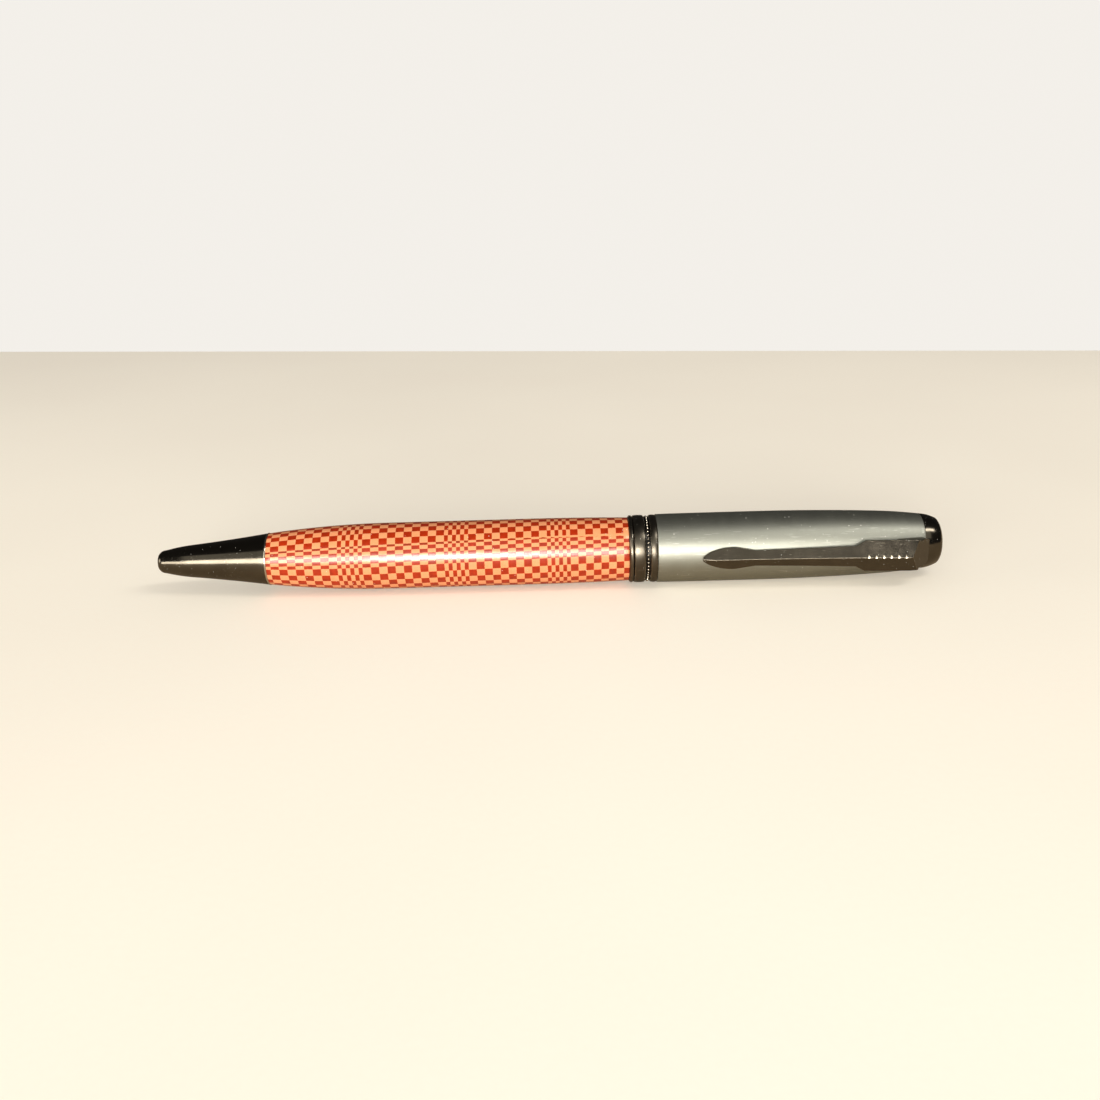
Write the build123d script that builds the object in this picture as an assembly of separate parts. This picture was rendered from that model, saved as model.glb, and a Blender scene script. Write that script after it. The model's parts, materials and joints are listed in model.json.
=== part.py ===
"""Twist-action ball pen, built piece by piece as it comes apart on a bench.

The pen lies on its side with its axis along X, writing end at -X, and its clip points to -Y.
Each piece is turned or cut about the X axis with x = 0 at the nose, and `place` then moves it so
that the origin is the middle of the pen's footprint, on the surface that it lies on.

The lower half holds a replaceable refill against a spring. The upper half turns on a connector:
a cam sleeve in it drives a follower along two straight slots, which pushes the refill out.
All sizes are in millimetres.
"""

import os

from build123d import *

# ---- the pen as a whole, along its axis from the nose ----
PEN_LENGTH = 136.0
NOSE_END = 19.1
TRIM_RING_END = 19.4
BARREL_END = 81.67
COUPLING_END = 82.4
BAND_START = 82.5
GROOVE_START = 84.5
GROOVE_END = 85.35
CAP_START = 86.6
CAP_END = 132.4

# ---- outside radii ----
NOSE_TIP_R = 1.35
NOSE_BACK_R = 4.5
BARREL_R = 5.75
BARREL_END_R = 5.5
GRIP_START, GRIP_END = 40.0, 65.0
BAND_R = 5.88
CAP_R = 5.98
CAP_FRONT_R = 5.93
CAP_SHOULDER = (125.0, 5.47)
CAP_BACK_R = 4.8

# ---- fits ----
RUNNING = 0.05
HEEL_GAP = 0.15

# ---- refill, a standard metal refill 98.3 long ----
REFILL_TIP = 0.9
REFILL_END = 99.2
REFILL_R = 2.9
REFILL_BORE = 2.55
POINT_R = 1.17
SPRING_SHOULDER = 13.3
SHOULDER_R = 1.95
NECK_END = 20.0
PLUG_START = 93.0
BALL_R = 0.5

# ---- nose bore and the threads at each end of the barrel ----
MOUTH_R = 1.25
SPRING_SEAT = 3.6
SPRING_BORE = 2.05
REFILL_WAY = 3.05
NOSE_THREAD_R = 3.3
NOSE_THREAD_END = 24.0
THREAD_PITCH = 0.75
THREAD_DEPTH = 0.12
BUSH_R = 3.95
REAR_BUSH_R = 4.85

# ---- twist mechanism ----
FEED_TRAVEL = 3.6
CONNECTOR_START = 72.5
CONNECTOR_THREAD_R = 3.5
SPIGOT_R = 3.6
SPIGOT_END = 106.5
LUG_R = 0.7
LUG_AT = 102.5
LUG_TIP = 4.35
LUG_PLAY = 0.06
CAM_START, CAM_END = 96.0, 105.5
CAM_R = 4.5
COLLAR = (86.8, 90.6, 4.05)
RING_SEAT = (88.15, 89.05)

# ---- clip ----
CLIP_TIP = 94.4
CLIP_HALF_WIDTH = 2.8
CLIP_TOP_R = 8.6
CLIP_HEEL = 134.6
TONGUE = (127.6, 130.2)
TONGUE_HALF = 1.2
TONGUE_FOOT = 3.7
TONGUE_PLAY = 0.3
RIB_START, RIB_PITCH, RIB_COUNT = 123.3, 1.28, 6

AXIS_Y = (CLIP_TOP_R - CAP_R) / 2
AXIS_Z = CAP_R


def turned(*outline):
    """A solid turned about X from a closed outline of points (x, radius) and curves."""
    edges = []
    for start, end in zip(outline, outline[1:] + outline[:1]):
        if isinstance(start, Edge):
            edges.append(start)
        first = start @ 1 if isinstance(start, Edge) else Vector(*start)
        last = end @ 0 if isinstance(end, Edge) else Vector(*end)
        if (first - last).length > 1e-6:
            edges.append(Line(first, last))
    return revolve(make_face(edges), Axis.X, 360)


def arc_into(start, end, tangent):
    """An arc from `start` to `end` whose tangent at `end`, pointing backwards, is `tangent`."""
    arc = TangentArc(end, start, tangent=tangent)
    return ThreePointArc(start, arc @ 0.5, end)


def tube(start, end, outer, inner):
    """A plain turned tube."""
    return turned((start, inner), (end, inner), (end, outer), (start, outer))


def rod(start, end, radius):
    """A plain turned rod."""
    return turned((start, 0), (end, 0), (end, radius), (start, radius))


def thread_grooves(start, end, radius):
    """Ring grooves that stand for a male thread, all inside its outer radius."""
    half = THREAD_PITCH / 3
    count = int((end - start) / THREAD_PITCH)
    middles = [start + THREAD_PITCH * (i + 0.5) for i in range(count)]
    return [
        turned((x - half, radius + 0.1), (x, radius - THREAD_DEPTH), (x + half, radius + 0.1))
        for x in middles
    ]


def radial_pin(x, radius, near, far, direction):
    """A cylinder standing out from the axis, from radius `near` to radius `far`."""
    seat = Plane(origin=Vector(x, 0, 0) + Vector(*direction) * near, z_dir=direction)
    return seat * Cylinder(radius, far - near, align=(Align.CENTER, Align.CENTER, Align.MIN))


# ---- lower half ----


def nose_cone():
    """Plated cone: a narrow mouth, the spring's chamber, and a threaded spigot at the back."""
    tip_round = ThreePointArc((0, NOSE_TIP_R), (0.33, 1.72), (1.2, 2.02))
    shoulder = ThreePointArc((1.2, 2.02), (3.3, 2.48), (6.0, 2.86))
    flank = ThreePointArc((6.0, 2.86), (12.6, 3.61), (NOSE_END, NOSE_BACK_R))
    cone = turned(
        (0, MOUTH_R + 0.05),
        tip_round,
        shoulder,
        flank,
        (NOSE_END, NOSE_THREAD_R),
        (NOSE_THREAD_END, NOSE_THREAD_R),
        (NOSE_THREAD_END, REFILL_WAY),
        (14.8, REFILL_WAY),
        (9.8, SPRING_BORE),
        (SPRING_SEAT, SPRING_BORE),
        (SPRING_SEAT, MOUTH_R),
        (0.05, MOUTH_R),
    )
    return cone - thread_grooves(NOSE_END + 0.6, NOSE_THREAD_END, NOSE_THREAD_R)


def nose_trim_ring():
    """Thin bright ring clamped between the nose cone and the barrel."""
    crown = ThreePointArc(
        (NOSE_END, NOSE_BACK_R), ((NOSE_END + TRIM_RING_END) / 2, 4.57), (TRIM_RING_END, 4.52)
    )
    return turned((NOSE_END, NOSE_THREAD_R), crown, (TRIM_RING_END, NOSE_THREAD_R))


def barrel_shell():
    """Lacquered tube, swelling from the nose to a straight grip, then narrowing a little."""
    swell = arc_into((TRIM_RING_END, NOSE_BACK_R), (GRIP_START, BARREL_R), (-1, 0))
    waist = TangentArc((GRIP_END, BARREL_R), (BARREL_END, BARREL_END_R), tangent=(1, 0))
    return turned(
        swell,
        waist,
        (BARREL_END, REAR_BUSH_R),
        (70.0, REAR_BUSH_R),
        (66.0, 5.15),
        (38.0, 5.15),
        (28.0, BUSH_R),
        (TRIM_RING_END, BUSH_R),
    )


def front_bush():
    """Threaded bush in the front of the barrel, which the nose cone screws into."""
    return tube(TRIM_RING_END, 26.5, BUSH_R, NOSE_THREAD_R)


def rear_bush():
    """Threaded bush in the back of the barrel, which the connector screws into."""
    bore = CONNECTOR_THREAD_R + RUNNING
    return turned(
        (70.5, bore),
        (BARREL_END - 0.4, bore),
        (BARREL_END, bore + 0.3),
        (BARREL_END, REAR_BUSH_R),
        (70.5, REAR_BUSH_R),
    )


def refill_spring():
    """Return spring between the seat in the nose cone and the shoulder of the refill."""
    wire, coil, turns = 0.18, 1.7, 9
    start, end = SPRING_SEAT + wire + 0.02, SPRING_SHOULDER - wire - 0.02
    path = Helix((end - start) / turns, end - start, coil, center=(start, 0, 0), direction=(1, 0, 0))
    section = Plane(origin=path @ 0, z_dir=path % 0) * Circle(wire)
    return sweep(section, path=path, is_frenet=True)


# ---- refill ----


def refill_point():
    """Writing point: a cone whose cup holds the ball, with an ink channel behind it."""
    centre = REFILL_TIP + BALL_R
    cone = turned(
        (centre - 0.16, 0),
        (centre - 0.16, 0.56),
        (centre + 0.4, 0.66),
        (3.4, POINT_R),
        (3.6, POINT_R),
        (3.6, 0.6),
        (5.0, 0.6),
        (5.0, 0),
    )
    cup = Pos(centre, 0, 0) * Sphere(BALL_R + 0.02)
    return cone - cup - rod(centre, 5.1, 0.2)


def writing_ball():
    """Hard ball that rolls the ink on."""
    return Pos(REFILL_TIP + BALL_R, 0, 0) * Sphere(BALL_R)


def refill_neck():
    """Front of the refill: the slim tube through the spring, its shoulder, and the taper."""
    return turned(
        (3.6, 0.6),
        (3.6, POINT_R),
        (SPRING_SHOULDER, POINT_R),
        (SPRING_SHOULDER, SHOULDER_R),
        (14.0, SHOULDER_R),
        (19.0, REFILL_R),
        (NECK_END, REFILL_R),
        (NECK_END, REFILL_BORE),
        (22.0, REFILL_BORE),
        (22.0, 2.2),
        (20.0, 2.2),
        (14.5, 0.6),
    )


def refill_tube():
    """Metal ink tube of the refill."""
    return tube(NECK_END, PLUG_START, REFILL_R, REFILL_BORE)


def ink_column():
    """Ink from the point back to the grease plug."""
    return turned((5.0, 0), (5.0, 0.6), (14.5, 0.6), (20.0, 2.2), (22.0, 2.2), (22.0, REFILL_BORE),
                  (74.0, REFILL_BORE), (74.0, 0))


def ink_grease():
    """Grease plug that follows the ink down and keeps it from drying."""
    return rod(74.0, 77.0, REFILL_BORE)


def refill_plug():
    """Plastic end of the refill: a vented plug with a crown of six teeth."""
    crown_r, gap = 2.3, 0.5
    plug = turned(
        (90.5, 0.4),
        (90.5, REFILL_BORE),
        (PLUG_START, REFILL_BORE),
        (PLUG_START, REFILL_R),
        (94.2, REFILL_R),
        (94.2, crown_r),
        (REFILL_END - 0.4, crown_r),
        (REFILL_END, crown_r - 0.3),
        (REFILL_END, 0.4),
    )
    for turn in (0, 60, 120):
        plug -= Rot(X=turn) * Pos(REFILL_END, 0, 0) * Box(3.2, 2 * crown_r + 1, gap)
    return plug


# ---- twist mechanism ----


def connector():
    """Fixed core of the twist mechanism: screws into the barrel and carries the upper half."""
    ring_groove = tube(*RING_SEAT, COLLAR[2] + 0.2, CONNECTOR_THREAD_R)
    circlip_groove = tube(105.7, 106.2, SPIGOT_R + 0.2, 3.45)
    body = turned(
        (CONNECTOR_START, REFILL_WAY),
        (CONNECTOR_START, CONNECTOR_THREAD_R),
        (BARREL_END + 0.05, CONNECTOR_THREAD_R),
        (BARREL_END + 0.05, 4.3),
        (COUPLING_END, 4.3),
        (COUPLING_END, SPIGOT_R),
        (COLLAR[0], SPIGOT_R),
        (COLLAR[0], COLLAR[2]),
        (COLLAR[1], COLLAR[2]),
        (COLLAR[1], SPIGOT_R),
        (SPIGOT_END, SPIGOT_R),
        (SPIGOT_END, REFILL_WAY),
    )
    body -= [ring_groove, circlip_groove, *thread_grooves(CONNECTOR_START + 0.4, 80.5, CONNECTOR_THREAD_R)]
    slot_start = LUG_AT - FEED_TRAVEL - LUG_R - LUG_PLAY
    slot_length = SPIGOT_END + 1 - slot_start
    slot = Box(slot_length, 2 * (LUG_R + LUG_PLAY), 2 * SPIGOT_R + 2)
    return body - Pos(slot_start + slot_length / 2, 0, 0) * slot


def coupling_ring():
    """Bright ring between the barrel and the upper half; its front edge is bevelled."""
    return turned(
        (BARREL_END + 0.05, 4.3),
        (BARREL_END + 0.05, BARREL_END_R + 0.02),
        (BARREL_END + 0.35, BAND_R - 0.03),
        (COUPLING_END - 0.1, BAND_R - 0.03),
        (COUPLING_END, BAND_R - 0.13),
        (COUPLING_END, 4.3),
    )


def friction_ring():
    """Rubber ring in the collar's groove; it gives the twist its smooth drag."""
    return Pos(sum(RING_SEAT) / 2, 0, 0) * Rot(Y=90) * Torus(3.96, 0.44)


def cam_circlip():
    """Open spring clip behind the cam sleeve, which keeps the upper half on the connector."""
    clip = tube(105.72, 106.18, 4.1, 3.46)
    return clip - Pos(106, 2.5, 0) * Box(2, 5, 1.6)


def feed_follower():
    """Plunger behind the refill; its two lugs ride in the straight slots and the cam."""
    body_r = REFILL_WAY - RUNNING
    body = turned(
        (REFILL_END, 0),
        (REFILL_END, body_r - 0.3),
        (REFILL_END + 0.3, body_r),
        (105.6, body_r),
        (105.6, 1.6),
        (104.0, 1.6),
        (104.0, 0),
    )
    lugs = [radial_pin(LUG_AT, LUG_R, 1.0, LUG_TIP, (0, 0, side)) for side in (1, -1)]
    return body + lugs


def cam_sleeve():
    """Sleeve with two helical slots: half a turn moves the lugs by the full travel."""
    sleeve = tube(CAM_START, CAM_END, CAM_R, SPIGOT_R + RUNNING + 0.03)
    track_r = LUG_R + LUG_PLAY
    front = LUG_AT - FEED_TRAVEL
    path = Helix(
        2 * FEED_TRAVEL, FEED_TRAVEL, 4.0, center=(front, 0, 0), direction=(1, 0, 0), lefthand=True
    )
    start = path @ 0
    section = Plane(origin=start, x_dir=Vector(0, start.Y, start.Z), z_dir=path % 0)
    track = sweep(section * Rectangle(2.4, 2 * track_r), path=path, is_frenet=True)
    ends = [
        radial_pin(x, track_r, 3.0, 5.2, Vector(0, p.Y, p.Z).normalized())
        for x, p in ((front, path @ 0), (LUG_AT, path @ 1))
    ]
    cutter = track + ends
    to_lugs = Vector(0, 0, 1).get_signed_angle(Vector(0, start.Y, start.Z), Vector(1, 0, 0))
    for turn in (-to_lugs, 180 - to_lugs):
        sleeve -= Rot(X=turn) * cutter
    return sleeve


# ---- upper half ----


def cap_liner():
    """Sleeve inside the upper half; its front is the journal that turns on the connector."""
    journal = SPIGOT_R + RUNNING
    return turned(
        (BAND_START, journal),
        (BAND_START, 4.9),
        (CAP_START, 4.9),
        (CAP_START, 5.35),
        (112.0, 5.35),
        (112.0, CAM_R),
        (86.5, CAM_R),
        (86.5, journal),
    )


def band(start, end, bevel):
    """One ring of the centre band, pressed on the liner, with both outer edges bevelled."""
    return turned(
        (start, 4.9),
        (start, BAND_R - bevel),
        (start + bevel, BAND_R),
        (end - bevel, BAND_R),
        (end, BAND_R - bevel),
        (end, 4.9),
    )


def band_inlay():
    """Sunk black ring between the two rings of the centre band."""
    return tube(GROOVE_START, GROOVE_END, 5.62, 4.9)


def cap_tube():
    """Satin metal tube of the upper half, with a slot near its end for the clip's tongue."""
    crown = TangentArc((104.0, CAP_R), CAP_SHOULDER, tangent=(1, 0))
    close_in = TangentArc(CAP_SHOULDER, (CAP_END, CAP_BACK_R), tangent=crown % 1)
    body = turned(
        (CAP_START, 5.35),
        (CAP_START, CAP_FRONT_R),
        (93.0, CAP_R),
        crown,
        close_in,
        (CAP_END, 4.3),
        (119.0, 4.3),
        (112.5, 5.35),
    )
    return body - clip_slot(4.0, 6.5)


def clip_slot(near, far):
    """Space for the clip's tongue, from radius `near` to radius `far` on the clip's side."""
    length = TONGUE[1] - TONGUE[0] + 2 * TONGUE_PLAY
    width = 2 * (TONGUE_HALF + TONGUE_PLAY)
    middle = Pos(sum(TONGUE) / 2, -(near + far) / 2, 0)
    return middle * Box(length, far - near, width)


def top_bush():
    """Bush wedged in the taper of the cap tube; the finial screw pulls against it."""
    return turned(
        (116.5, 1.35),
        (116.5, 4.7),
        (119.0, 4.3),
        (126.5, 4.3),
        (126.5, 1.35),
    )


def clip_ring():
    """Ring that holds the clip's tongue in a pocket."""
    return tube(126.5, 131.3, 4.3, 1.9) - clip_slot(TONGUE_FOOT - TONGUE_PLAY, 5.0)


def finial():
    """Plated domed end with a threaded hole for its screw."""
    corner = ThreePointArc((133.9, 4.55), (135.2, 4.03), (135.78, 3.0))
    dome = arc_into((135.78, 3.0), (PEN_LENGTH, 0), (0, 1))
    return turned(
        (CAP_END, CAP_BACK_R),
        corner,
        dome,
        (134.2, 0),
        (134.2, 1.25),
        (128.6, 1.25),
        (128.6, 1.85),
        (131.35, 1.85),
        (131.35, 4.25),
        (CAP_END, 4.25),
    )


def finial_screw():
    """Slotted screw that clamps bush, clip ring and finial together."""
    screw = turned(
        (114.9, 0),
        (114.9, 2.0),
        (115.1, 2.2),
        (116.5, 2.2),
        (116.5, 1.25),
        (133.8, 1.25),
        (133.8, 0),
    )
    slot = Pos(114.9, 0, 0) * Box(1.2, 5, 0.6)
    return screw - [slot, *thread_grooves(129.0, 133.4, 1.25)]


def clip_section(x, half_width, under, edge, ridge):
    """Roof-shaped cross-section of the clip's arm; radii are measured outwards, to -Y."""
    corners = [(-half_width, under), (half_width, under), (half_width, edge), (0, ridge), (-half_width, edge)]
    wire = Wire.make_polygon([Vector(x, -radius, across) for across, radius in corners])
    return Face(wire)


def pocket_clip():
    """Clip: a leaf-shaped end, a tapering roofed arm, a broad ribbed root and an inner tongue."""
    leaf = [
        (CLIP_TIP, 0.35, 6.35, 6.5, 6.7),
        (95.4, 1.05, 6.1, 6.45, 7.05),
        (97.4, 1.7, 6.04, 6.4, 7.22),
        (99.6, 1.95, 6.04, 6.4, 7.27),
        (101.8, 1.7, 6.12, 6.6, 7.28),
        (103.6, 1.36, 6.3, 6.8, 7.3),
    ]
    arm = [
        (112.0, 1.55, 6.55, 7.05, 7.53),
        (121.0, 1.8, 6.95, 7.5, 7.98),
        (122.8, CLIP_HALF_WIDTH, 7.0, 7.5, 8.08),
        (130.9, CLIP_HALF_WIDTH, 7.35, 7.95, CLIP_TOP_R),
        (133.3, 2.6, 7.35, 7.8, 8.05),
    ]
    root = [
        (126.6, 2.4, 6.2, 7.3, 7.9),
        (127.4, 2.4, 5.35 + HEEL_GAP, 7.3, 7.9),
        (CAP_END, 2.4, CAP_BACK_R + HEEL_GAP, 7.4, 8.0),
        (133.3, 2.4, 4.68 + HEEL_GAP, 7.4, 8.05),
        (CLIP_HEEL, 1.5, 4.42 + HEEL_GAP, 5.2, 5.4),
    ]
    body = loft([clip_section(*s) for s in leaf + arm], ruled=True)
    body += loft([clip_section(*s) for s in root], ruled=True)
    length = TONGUE[1] - TONGUE[0]
    tongue = Pos(sum(TONGUE) / 2, -(TONGUE_FOOT + 6.0) / 2, 0) * Box(
        length, 6.0 - TONGUE_FOOT, 2 * TONGUE_HALF
    )
    body += tongue
    for i in range(RIB_COUNT):
        x = RIB_START + i * RIB_PITCH
        ridge = 8.08 + (x - 122.8) * (CLIP_TOP_R - 8.08) / (130.9 - 122.8)
        body -= Pos(x, -ridge, 0) * Rot(Z=45) * Box(0.22, 0.22, 8)
    return body


def place(shape):
    """Moves a piece from the pen's own axis to its place on the surface."""
    return Pos(-PEN_LENGTH / 2, AXIS_Y, AXIS_Z) * shape


PIECES = {
    "nose_cone": nose_cone,
    "nose_trim_ring": nose_trim_ring,
    "barrel_shell": barrel_shell,
    "front_bush": front_bush,
    "rear_bush": rear_bush,
    "refill_spring": refill_spring,
    "refill_point": refill_point,
    "writing_ball": writing_ball,
    "refill_neck": refill_neck,
    "refill_tube": refill_tube,
    "ink_column": ink_column,
    "ink_grease": ink_grease,
    "refill_plug": refill_plug,
    "feed_follower": feed_follower,
    "connector": connector,
    "coupling_ring": coupling_ring,
    "friction_ring": friction_ring,
    "cam_circlip": cam_circlip,
    "cam_sleeve": cam_sleeve,
    "cap_liner": cap_liner,
    "band_front": lambda: band(BAND_START, GROOVE_START, 0.18),
    "band_inlay": band_inlay,
    "band_rear": lambda: band(GROOVE_END, CAP_START, 0.15),
    "cap_tube": cap_tube,
    "top_bush": top_bush,
    "clip_ring": clip_ring,
    "finial": finial,
    "finial_screw": finial_screw,
    "pocket_clip": pocket_clip,
}

os.makedirs("parts", exist_ok=True)
for node, make in PIECES.items():
    export_step(place(make()), f"parts/{node}.step")
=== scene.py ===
"""Finished surfaces of a twist-action ball pen, laid out as a Blender add-on.

The pen's frame gives the places: every piece is turned or cut about the pen's axis, which runs
along X from the nose to the domed end, and rides on the body that it belongs to.
"""

import json
import math

import bmesh
import bpy
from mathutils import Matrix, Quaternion, Vector


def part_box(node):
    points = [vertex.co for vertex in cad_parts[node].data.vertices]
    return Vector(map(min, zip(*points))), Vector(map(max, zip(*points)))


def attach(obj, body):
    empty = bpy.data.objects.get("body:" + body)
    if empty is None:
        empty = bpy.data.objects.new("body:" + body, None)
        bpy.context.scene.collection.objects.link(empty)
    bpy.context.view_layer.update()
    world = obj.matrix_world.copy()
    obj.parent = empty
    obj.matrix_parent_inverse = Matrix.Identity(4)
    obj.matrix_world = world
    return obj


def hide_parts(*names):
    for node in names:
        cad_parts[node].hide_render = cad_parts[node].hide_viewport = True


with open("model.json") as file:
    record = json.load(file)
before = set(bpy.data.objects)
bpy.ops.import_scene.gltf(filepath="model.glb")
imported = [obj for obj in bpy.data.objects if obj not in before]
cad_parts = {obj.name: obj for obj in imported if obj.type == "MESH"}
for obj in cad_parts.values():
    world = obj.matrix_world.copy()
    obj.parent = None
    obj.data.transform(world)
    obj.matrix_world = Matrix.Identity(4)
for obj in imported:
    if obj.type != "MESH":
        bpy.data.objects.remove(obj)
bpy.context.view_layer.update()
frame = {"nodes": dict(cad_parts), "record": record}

bl_info = {
    "name": "Checked Twist Pen",
    "version": (1, 0, 0),
    "blender": (4, 5, 0),
    "location": "View3D > Sidebar > Pen",
    "description": "Turns, plates and lacquers the pieces of a twist-action ball pen",
    "category": "Object",
}

MM = 0.001
NOSE_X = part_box("nose_cone")[0].x
TUBE_LOW, TUBE_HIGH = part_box("cap_tube")
AXIS = (TUBE_LOW + TUBE_HIGH) / 2


def along(mm):
    """The X coordinate of a place given in millimetres from the nose."""
    return NOSE_X + mm * MM


def start_of(node):
    """Where a CAD node starts, in millimetres from the nose."""
    return (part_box(node)[0].x - NOSE_X) / MM


def end_of(node):
    """Where a CAD node ends, in millimetres from the nose."""
    return (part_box(node)[1].x - NOSE_X) / MM


def radius_of(node):
    """The largest radius of a turned CAD node, in millimetres."""
    low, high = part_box(node)
    return min(high.y - low.y, high.z - low.z) / 2 / MM


# ---------------------------------------------------------------- sizes and colours


class PenSizes(bpy.types.PropertyGroup):
    """Sizes that a maker would change."""

    facets: bpy.props.IntProperty(
        name="Facets around", description="How many flats each turned piece has", default=144, min=24
    )
    edge: bpy.props.FloatProperty(
        name="Edge rounding", description="Width of the rounding on turned edges", default=0.05 * MM,
        unit="LENGTH", precision=5,
    )
    clip_edge: bpy.props.FloatProperty(
        name="Clip edge rounding", description="Width of the rounding on the clip's edges", default=0.10 * MM,
        unit="LENGTH", precision=5,
    )
    check_tall: bpy.props.FloatProperty(
        name="Check height", description="How far around the barrel a large check reaches",
        default=math.radians(13.6), unit="ROTATION",
    )
    check_long: bpy.props.FloatProperty(
        name="Check length", description="How far along the barrel a large check reaches", default=1.42 * MM,
        unit="LENGTH", precision=5,
    )
    beads: bpy.props.IntProperty(
        name="Beads", description="How many beads stand in the sunk ring of the waist", default=50, min=12
    )


class PenColours(bpy.types.PropertyGroup):
    """Colours of the finishes."""

    check_red: bpy.props.FloatVectorProperty(
        name="Check", description="Orange-red of the checks", subtype="COLOR", default=(0.32, 0.0185, 0.0006)
    )
    check_peach: bpy.props.FloatVectorProperty(
        name="Ground", description="Peach between the checks", subtype="COLOR", default=(0.66, 0.240, 0.100)
    )
    plating: bpy.props.FloatVectorProperty(
        name="Plating", description="Dark gunmetal plating", subtype="COLOR", default=(0.150, 0.131, 0.102)
    )
    satin: bpy.props.FloatVectorProperty(
        name="Satin metal", description="The upper half", subtype="COLOR", default=(0.395, 0.40, 0.345)
    )
    brass: bpy.props.FloatVectorProperty(
        name="Brass", description="Bushes and core", subtype="COLOR", default=(0.68, 0.45, 0.17)
    )
    steel: bpy.props.FloatVectorProperty(
        name="Steel", description="Refill tube, spring and screw", subtype="COLOR", default=(0.50, 0.49, 0.47)
    )


class PenStudio(bpy.types.PropertyGroup):
    """Camera and lamps."""

    lens: bpy.props.FloatProperty(
        name="Lens", description="Focal length in millimetres", default=39.8, min=10
    )
    distance: bpy.props.FloatProperty(
        name="Camera distance", description="From the camera to the pen's axis", default=0.2124, unit="LENGTH"
    )
    height: bpy.props.FloatProperty(
        name="Camera height", description="Camera's angle above the floor", default=math.radians(19.5),
        unit="ROTATION",
    )
    roll: bpy.props.FloatProperty(
        name="Camera roll", description="Camera's turn about its own line of sight",
        default=math.radians(-1.62), unit="ROTATION",
    )
    aim: bpy.props.FloatProperty(
        name="Aim", description="Where the camera looks, from the nose", default=68.15 * MM, unit="LENGTH"
    )
    lift: bpy.props.FloatProperty(
        name="Lift", description="How far above the pen's axis the camera looks", default=0.18 * MM,
        unit="LENGTH", precision=5,
    )
    key_power: bpy.props.FloatProperty(
        name="Front softbox", description="Power of the wide soft lamp behind the camera", default=8.0,
        unit="POWER",
    )
    strip_power: bpy.props.FloatProperty(
        name="Front strip", description="Power of the small lamp that brightens the barrel's streak",
        default=1.5, unit="POWER",
    )
    side_power: bpy.props.FloatProperty(
        name="Side lamps", description="Power of each lamp on the nose's side", default=1.3, unit="POWER"
    )
    top_power: bpy.props.FloatProperty(
        name="Top softbox", description="Power of the dim lamp above the camera", default=1.3, unit="POWER"
    )
    end_power: bpy.props.FloatProperty(
        name="End lamp", description="Power of the small lamp that lights the domed end", default=2.0,
        unit="POWER",
    )
    air: bpy.props.FloatProperty(
        name="Air light", description="Strength of the even light from all around", default=0.36, min=0
    )


# ---------------------------------------------------------------- outlines


def arc(first, middle, last, count):
    """Points on the arc through three points, without the first."""
    (ax, ay), (bx, by), (cx, cy) = first, middle, last
    d = 2 * (ax * (by - cy) + bx * (cy - ay) + cx * (ay - by))
    a2, b2, c2 = ax * ax + ay * ay, bx * bx + by * by, cx * cx + cy * cy
    x = (a2 * (by - cy) + b2 * (cy - ay) + c2 * (ay - by)) / d
    y = (a2 * (cx - bx) + b2 * (ax - cx) + c2 * (bx - ax)) / d
    radius = math.hypot(ax - x, ay - y)
    start = math.atan2(ay - y, ax - x)
    sweep = math.remainder(math.atan2(cy - y, cx - x) - start, 2 * math.pi)
    turns = [start + sweep * (i + 1) / count for i in range(count)]
    return [(x + radius * math.cos(t), y + radius * math.sin(t)) for t in turns]


def leave(start, heading, last, count):
    """Points on the arc that leaves `start` along `heading` and ends at `last`, and its last heading."""
    chord = Vector(last) - Vector(start)
    ahead = Vector(heading).normalized()
    side = Vector((-ahead.y, ahead.x))
    if chord.dot(side) < 0:
        side = -side
    radius = chord.length_squared / (2 * chord.dot(side))
    sweep = 2 * math.atan2(chord.dot(side), chord.dot(ahead))
    points = []
    for i in range(1, count + 1):
        t = sweep * i / count
        spot = Vector(start) + ahead * radius * math.sin(t) + side * radius * (1 - math.cos(t))
        points.append(tuple(spot))
    return points, ahead * math.cos(sweep) + side * math.sin(sweep)


# ---------------------------------------------------------------- workshop


def deselect():
    """Leaves object mode with nothing selected."""
    if bpy.context.object and bpy.context.object.mode != "OBJECT":
        bpy.ops.object.mode_set(mode="OBJECT")
    bpy.ops.object.select_all(action="DESELECT")


def only(piece):
    """Makes one object the selected and active one."""
    deselect()
    piece.select_set(True)
    bpy.context.view_layer.objects.active = piece


def settle(piece, name):
    """Names a new primitive and moves its place into its mesh."""
    piece.name = piece.data.name = name
    bpy.ops.object.transform_apply(location=True, rotation=True, scale=True)
    return piece


def modify(piece, kind, **settings):
    """Adds a modifier with these settings and applies it."""
    only(piece)
    modifier = piece.modifiers.new(kind.title(), kind)
    for key, value in settings.items():
        setattr(modifier, key, value)
    bpy.ops.object.modifier_apply(modifier=modifier.name)


def block(name, x, radius, size):
    """A block on the clip's side of the axis: its middle's place and radius, and its three sizes."""
    deselect()
    bpy.ops.mesh.primitive_cube_add(
        size=1, location=(along(x), AXIS.y - radius * MM, AXIS.z), scale=[s * MM for s in size]
    )
    return settle(bpy.context.object, name)


def combine(piece, other, operation):
    """Joins another solid to a piece, or cuts it away, and uses it up."""
    modify(piece, "BOOLEAN", object=other, operation=operation, solver="EXACT")
    bpy.data.objects.remove(other)


def smooth(piece, degrees=35):
    """Shades a piece smooth except across sharp edges."""
    only(piece)
    bpy.ops.object.shade_smooth_by_angle(angle=math.radians(degrees))
    modify(piece, "WEIGHTED_NORMAL", keep_sharp=True)


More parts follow.
